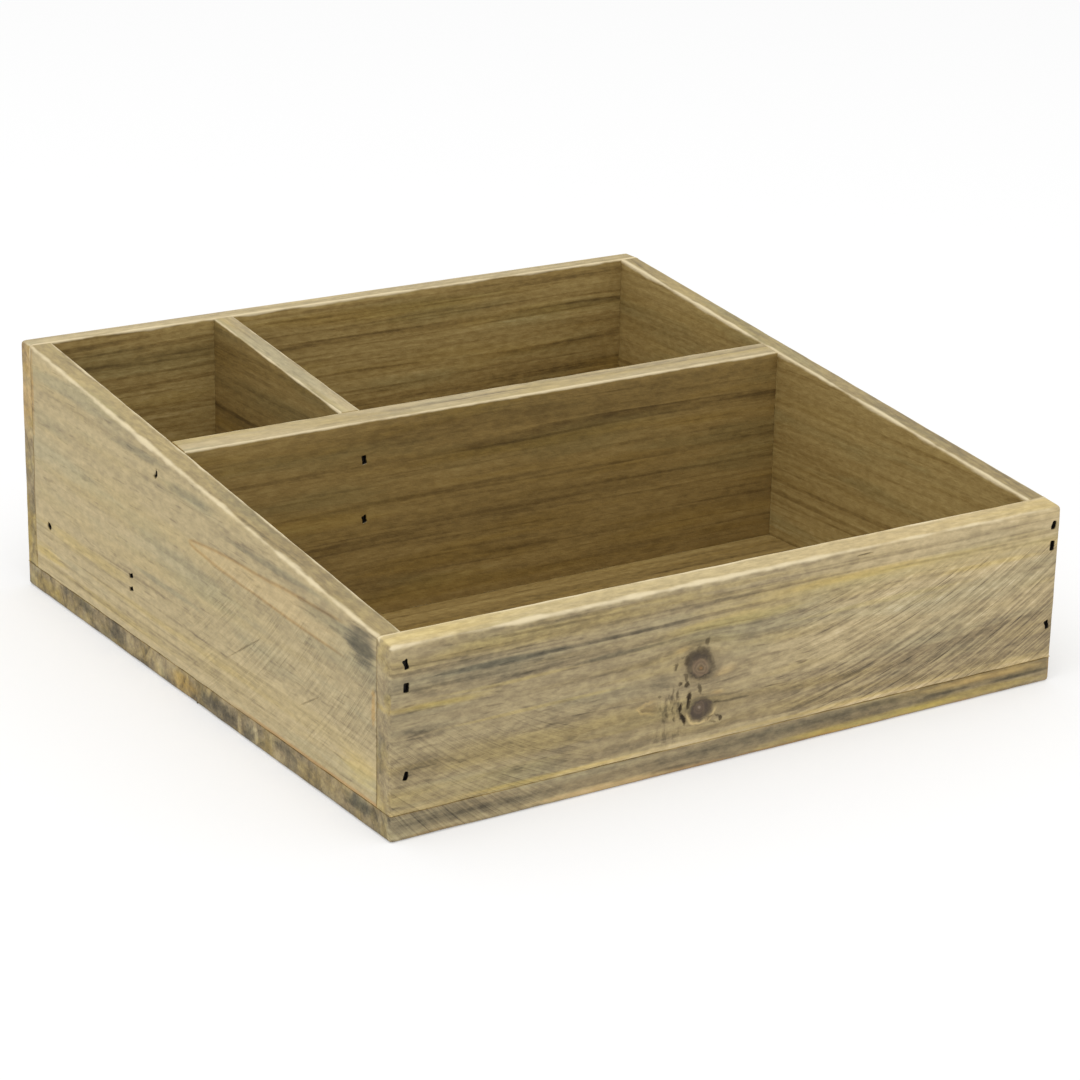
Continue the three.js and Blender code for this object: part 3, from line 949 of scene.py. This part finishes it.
wood = start_pine(
    node, WALL_AXES, 3.0, pith=(0, 20, -180), ring_width=2.4, wander=6, sloped=True, worn="Y-Y+Z+",
    bend=bend_round_knots,
)
grow(wood, level=0.49, streaks=0.5, bands=0.2, rings=0.14, fibres=0.55)
outside = outer_face(wood, "Y", -1)
right = slope(wood, "X", -30, 70)
shade(wood, both(right, slope(wood, "Z", 15, 52)), 0.2)
shade(wood, slope(wood, "Z", 20, 12), 0.06)
stain(wood, FRONT_STAINS)
right_arcs = both(slope(wood, "X", -10, 50), slope(wood, "Z", 60, 50), outside)
saw(wood, "XZ", RIGHT_SAW_CENTRE, right_arcs, spacing=1.4, strength=0.34)
tone(wood, right, PINK)
fine_lines(wood, both(slope(wood, "Z", 44, 52), outside), 0.16)
lower_left = both(slope(wood, "X", -40, -90), slope(wood, "Z", 42, 30))
saw(wood, "XZ", LEFT_SAW_CENTRE, both(lower_left, outside), spacing=0.9, strength=0.11)
grain_dashes(wood, both(patch(wood, (12, 31), (32, 17), 0.6, "XZ"), outside), 0.26)
grain_dashes(wood, both(slope(wood, "X", -45, -70), outside), 0.14)
rough_grain(wood, both(patch(wood, (-31, 25.5), (9, 9), 0.5, "XZ"), outside), 0.2)
rough_grain(wood, both(patch(wood, (-32, 15), (11, 6), 0.5, "XZ"), outside), 0.16)
loop_wander = calc("MULTIPLY", noise(wood.place, 2.2, 44.0), LOOP_WANDER)
behind_tip = calc("SUBTRACT", wood.point["X"], LOOP_TIP[0])
off_axis = calc("SUBTRACT", calc("ADD", wood.point["Z"], loop_wander), LOOP_TIP[1])
pale_loop = tongue(behind_tip, off_axis, LOOP_SPREAD)
loop_fade = both(slope(wood, "X", -45.6, -44), slope(wood, "X", -35, -39.5), outside)
dye(wood, both(outline(pale_loop, 0.2, 1.0), loop_fade), 0.18, ORANGE, 0.35)
dye(wood, both(ramp(pale_loop, -0.4, -1.0), loop_fade), -0.06, ORANGE, 0.25)
for number, (centre, size, turn, heart) in enumerate(KNOTS):
    reach = knot_reach(wood, centre, size, turn, 40.0 + number, torn=1.0)
    from_heart = knot_reach(wood, heart, size, turn, 48.0 + number, torn=0.8)
    shade(wood, ramp(reach, 1.9, 1.0), -0.12)
    to_rim = calc("MAXIMUM", from_heart, ramp(reach, 0.55, 0.95))
    rounds = stained(KNOT_ROUNDS, to_rim)
    if number:
        below = slope(wood, "Z", centre[1] + 0.5, centre[1] - 2)
        dye(wood, both(outline(reach, 1.38, 0.24), below, outside), 0.34, ORANGE, 0.25)
        rounds = mixed(0.65, rounds, KNOT_BROWN)
        rounds = mixed(ramp(from_heart, 0.28, 0.06), rounds, KNOT_HEART)
    mottled = ramp(wood.figure["Fibres"], *NOISE_RANGE, 1.0, 0.72)
    tint(wood, both(ramp(reach, 1.25, 0.85), mottled), rounds)
bark_push = sway(wood.place, size=2.4, seed=47.0, drawn=1, amount=2.4)
bark_place = vector_calc("ADD", wood.place, bark_push)
bark_torn = noise(wood.place, 1.3, 46.0, detail=3, roughness=0.6)
for start, end, width, strength in BARK_MARKS:
    mark = bark_mark(bark_place, bark_torn, start, end, width)
    tint(wood, both(mark, outside), BARK_BROWN, strength)
inside(wood, "Y", front_board_high.y, 1)
soak_ends(wood, 0.0, 0.4)
# Partly paler stain, partly a painted highlight on the bottom arris: a patchy pale band along the foot,
# just above the joint with the base.
foot_patches = ramp(noise(wood.place, 7, 52.0, drawn=5), 0.36, 0.56, 0.3, 1.0)
dye(wood, both(slope(wood, "Z", 12, 10.4), foot_patches, outside), 0.24, ORANGE, 0.15)
tone(wood, wood.up, MUSTARD, 0.25)
shade(wood, both(wood.up, right), -0.2)
rub(wood, width=1.6, amount=0.9, top=0.27, where=slope(wood, "Z", 58, 66))
set_board(board, node, close_pine(wood))

# Back board: the tallest pine board, lapped over the back ends of the sides and nailed into them, with a
# flat top. Its sawn left end shows orange near the top, and brown stain below.

node = "back_board"
board = work_board(node, WALL_AXES)
wood = start_pine(node, WALL_AXES, 4.0, pith=(0, 40, 190), ring_width=3.6, worn="X-X+Y-Y+Z+")
grow(wood, level=0.52, streaks=0.9, bands=0.4)
inside(wood, "Y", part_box(node)[0].y, -1)
shade(wood, wood.inner, 0.1)
fine_lines(wood, wood.inner, 0.18)
soak_ends(wood, -0.04, 0.35)
shade(wood, both(wood.end, slope(wood, "Z", 70, 54), slope(wood, "Z", 26, 38)), -0.16)
tone(wood, both(wood.end, slope(wood, "Z", 40, 28)), MUSTARD, 0.6)
dye(wood, both(wood.end, slope(wood, "Z", 56, 72)), 0.1, ORANGE, 0.6)
grime(wood)
rub(wood, width=1.2, top=0.15, where=slope(wood, "Z", 90, 97))
set_board(board, node, close_pine(wood))

# Side boards: two pine boards cut to the slope along their tops, set between the front and back boards and
# nailed through them. The left one shows a tongue of orange grain, a dark stain at its front and two
# scratches.

SIDE_AXES = "YZX"
SIDE_SAW_CENTRE = (207, 314)
TONGUE_TIP = (0.0, 61.3)
TONGUE_SPREAD = 0.57
TONGUE_WANDER = 2.0
LEFT_STAINS = (
    ((40, 82), (30, 2.4), -0.12, COOL, 0.8), ((0, 77), (26, 2.6), -0.15, COOL, 0.8),
    ((-62, 70), (48, 2), -0.14, COOL, 0.8), ((-122, 62), (12, 8.5), -0.42, COOL, 1.0),
    ((-100, 64), (24, 3), -0.14, COOL, 0.8), ((20, 37), (38, 1.4), -0.08, COOL, 0.8),
    ((90, 30), (58, 4), 0.04, MUSTARD, 0.5), ((120, 18), (20, 4), 0.06, MUSTARD, 0.7),
    ((-120, 19), (18, 7), 0.09, MUSTARD, 0.6), ((0, 22), (120, 2), 0.03, MUSTARD, 0.3),
    ((60, 14), (65, 2), 0.04, MUSTARD, 0.4), ((-129, 44), (1.6, 10), 0.05, ORANGE, 0.8),
    ((130, 80), (1.5, 24), -0.04, ORANGE, 0.7), ((40, 33), (60, 0.7), -0.12), ((30, 27), (90, 0.6), -0.1),
    ((70, 22), (60, 0.6), -0.1), ((-20, 17), (90, 0.7), -0.1),
)
SCRATCH_DEPTH = 0.25
LEFT_SCRATCHES = (((-27.5, 26), (-54.5, 42.6), 0.9), ((-79.5, 26.6), (-93.5, 34.6), 0.8))
for node, way, seed, pith in (("left_side", -1, 5.0, (0, 60, -180)), ("right_side", 1, 6.0, (0, 45, 185))):
    board = work_board(node, SIDE_AXES, sloped=True)
    low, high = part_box(node)
    if way < 0:
        left_face = low.x / MM
        for start, end, width in LEFT_SCRATCHES:
            crack(board, Vector((way, 0, 0)), (left_face, *start), (left_face, *end), width, SCRATCH_DEPTH)
    wood = start_pine(node, SIDE_AXES, seed, pith, ring_width=2.2, wander=5, sloped=True, worn="X-X+Z+")
    grow(wood, level=0.64, streaks=0.4, bands=0.15, rings=0.12, fibres=0.45, warmth=0.2)
    fine_lines(wood, slope(wood, "Z", 38, 30), 0.13)
    shade(wood, slope(wood, "Z", 34, 24), 0.08)
    outside = outer_face(wood, "X", way)
    sawn = ramp(noise(wood.place, 16, seed + 48, drawn=1.5), 0.42, 0.6, 0.25, 1.0)
    arcs = both(slope(wood, "Y", 20, -30), slope(wood, "Z", 66, 54), sawn, outside)
    saw(wood, "YZ", SIDE_SAW_CENTRE, arcs, spacing=1.2, strength=0.16)
    grain_dashes(wood, outside, 0.13)
    inside(wood, "X", high.x if way < 0 else low.x, -way)
    if way < 0:
        wander = noise(wood.place, 6, 51.0, drawn=5)
        wander = calc("MULTIPLY_ADD", wander, TONGUE_WANDER, wood.point["Z"])
        off_axis = calc("SUBTRACT", wander, TONGUE_TIP[1])
        behind_tip = calc("SUBTRACT", TONGUE_TIP[0], wood.point["Y"])
        reach = tongue(behind_tip, off_axis, TONGUE_SPREAD)
        fade = both(slope(wood, "Y", -116, -100), slope(wood, "Y", 1.5, -2), outside)
        dye(wood, both(ramp(reach, 0.2, -0.6), fade), 0.09, ORANGE, 0.19)
        dye(wood, both(outline(reach, 0.0, 1.1), fade), -0.1, ORANGE, 0.6)
        stain(wood, LEFT_STAINS, outside, ragged=1.3)
        foot = both(slope(wood, "Z", 11.2, 10), slope(wood, "Y", -20, -60), outside)
        tint(wood, foot, ORANGE_TAN, 0.7)
    fine_lines(wood, wood.inner, 0.1)
    grime(wood, 0.08)
    shade(wood, both(wood.up, slope(wood, "Y", 20, -60)), -0.1)
    tone(wood, wood.up, MUSTARD, 0.35)
    rub(wood, width=1.7, top=-0.12)
    set_board(board, node, close_pine(wood))

# Cross divider: a pine board that parts the front bay from the rear bays, nailed through both sides. It is
# brown all over, apart from its sloping top, which took the outer stain and was rubbed along its arrises.


def grow_inside(wood):
    """The browner pine of a board that stands inside, on every face."""
    grow(wood, level=0.48, fibres=0.4)
    fine_lines(wood, 1.0, 0.12)
    wood.inner = 1.0


def bare_top(wood):
    """Leaves a top edge its outer stain, rubbed pale along its arrises."""
    wood.inner = ramp(wood.up, 0.8, 0.2)
    rub(wood, width=0.9)


node = "cross_divider"
board = work_board(node, WALL_AXES, sloped=True)
wood = start_pine(node, WALL_AXES, 7.0, (0, 30, 150), 3.6, sloped=True, worn="Y-Y+Z+")
grow_inside(wood)
bare_top(wood)
set_board(board, node, close_pine(wood))

# Raised rear floor: a pine board that carries the rear bays a finger's width above the base. It fits
# between the two sides and is nailed through them.

node = "rear_floor"
board = work_board(node, PLANK_AXES)
wood = start_pine(node, PLANK_AXES, 8.0, (0, 90, -60), 3.8)
grow_inside(wood)
set_board(board, node, close_pine(wood))

# Partition: a short, thin pine board on the raised floor, between the two rear bays. Its top lies on the
# caddy's slope, and brads through the divider and the back board hold its ends.

node = "partition"
board = work_board(node, SIDE_AXES, sloped=True)
wood = start_pine(node, SIDE_AXES, 9.0, (0, 40, 60), 3.2, sloped=True, worn="X-X+Z+")
grow_inside(wood)
bare_top(wood)
set_board(board, node, close_pine(wood))
for cutter in slot_cutters.values():
    bpy.data.objects.remove(cutter)

# Brads: thin steel brads, shot through one board into the next and sunk below its surface. They keep the
# shapes of the solids, and their steel is dulled and specked with rust.

STEEL_GREY = srgb(46, 44, 41)
RUST_BROWN = srgb(44, 29, 19)
brad_steel = bpy.data.materials.new("dull_brad_steel")
tree = empty_nodes(brad_steel)
rust = noise(in_millimetres(tree), 0.9, 41.0, detail=3, roughness=0.6)
steel_colour = mixed(ramp(rust, 0.5, 0.66), STEEL_GREY, RUST_BROWN)
steel_rough = ramp(rust, 0.4, 0.66, 0.4, 0.85)
steel_metal = ramp(rust, 0.5, 0.66, 0.8, 0.1)
shader = node_of("BsdfPrincipled", {
    "Base Color": steel_colour, "Roughness": steel_rough, "Metallic": steel_metal,
})
node_of("OutputMaterial", {"Surface": shader.outputs[0]})
for name in brad_nodes:
    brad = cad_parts[name]
    for place in brad.material_slots:
        place.material = brad_steel

# Floor, light and camera: a white studio table under one broad soft lamp and a white sky, seen from the
# front left and a little above, where the photograph was taken from.

FLOOR_SIZE = 12
FLOOR_DROP = 0.1 * MM
bpy.ops.mesh.primitive_plane_add(size=FLOOR_SIZE, location=(0, 0, -FLOOR_DROP))
floor = bpy.context.active_object
floor.name = "studio_floor"


def seen_rays(tree):
    """One for what the camera sees, straight, mirrored or through glass, and none for other light."""
    rays = node_of("LightPath", {}, tree).outputs
    seen = calc("MAXIMUM", rays["Is Camera Ray"], rays["Is Glossy Ray"])
    return calc("MAXIMUM", seen, rays["Is Transmission Ray"])


FLOOR_WHITE = (0.85, 0.85, 0.85, 1)
PURE_WHITE = (1, 1, 1, 1)
FLOOR_GLOW = 0.25
GLOW_STRENGTH = 1.35
floor_paint = bpy.data.materials.new("studio_floor_white")
tree = empty_nodes(floor_paint)
matte = node_of("BsdfDiffuse", {"Color": FLOOR_WHITE}, tree).outputs[0]
glow = node_of("Emission", {"Color": PURE_WHITE, "Strength": GLOW_STRENGTH}, tree).outputs[0]
share = calc("MULTIPLY", seen_rays(tree), FLOOR_GLOW)
surface = node_of("MixShader", {0: share, 1: matte, 2: glow}).outputs[0]
node_of("OutputMaterial", {"Surface": surface})
floor.data.materials.append(floor_paint)

SKY_STRENGTH = 0.8
world = bpy.data.worlds.new("studio")
bpy.context.scene.world = world
tree = empty_nodes(world)
strength = ramp(seen_rays(tree), 0, 1, SKY_STRENGTH, 1.0)
background = node_of("Background", {"Color": PURE_WHITE, "Strength": strength}).outputs[0]
node_of("OutputWorld", {"Surface": background})

LAMP_PLACE = Vector((-1.5, -1.4, 3.8))
LAMP_AIM = Vector((0, 0, 0.05))
LAMP_SIZE = 4
LAMP_POWER = 80
lamp = bpy.data.lights.new("overhead_softbox", "AREA")
lamp.size = LAMP_SIZE
lamp.energy = LAMP_POWER
softbox = bpy.data.objects.new("overhead_softbox", lamp)
bpy.context.scene.collection.objects.link(softbox)
lamp_turn = (LAMP_PLACE - LAMP_AIM).to_track_quat("Z", "Y").to_matrix().to_4x4()
softbox.matrix_world = Matrix.Translation(LAMP_PLACE) @ lamp_turn

CAMERA_PLACE = (-0.610262, -0.942101, 0.432967)
CAMERA_AZIMUTH = math.radians(-33.2345)
CAMERA_ELEVATION = math.radians(19.4583)
CAMERA_ROLL = math.radians(1.152)
CAMERA_LENS = 105.624
SENSOR_WIDTH = 36
lens = bpy.data.cameras.new("photo_camera")
lens.lens = CAMERA_LENS
lens.sensor_width = SENSOR_WIDTH
camera = bpy.data.objects.new("photo_camera", lens)
bpy.context.scene.collection.objects.link(camera)
camera.matrix_world = (
    Matrix.Translation(CAMERA_PLACE) @ Matrix.Rotation(CAMERA_AZIMUTH, 4, "Z")
    @ Matrix.Rotation(math.pi / 2 - CAMERA_ELEVATION, 4, "X") @ Matrix.Rotation(CAMERA_ROLL, 4, "Z")
)
bpy.context.scene.camera = camera
bpy.context.scene.view_settings.view_transform = "Standard"

bpy.context.view_layer.update()
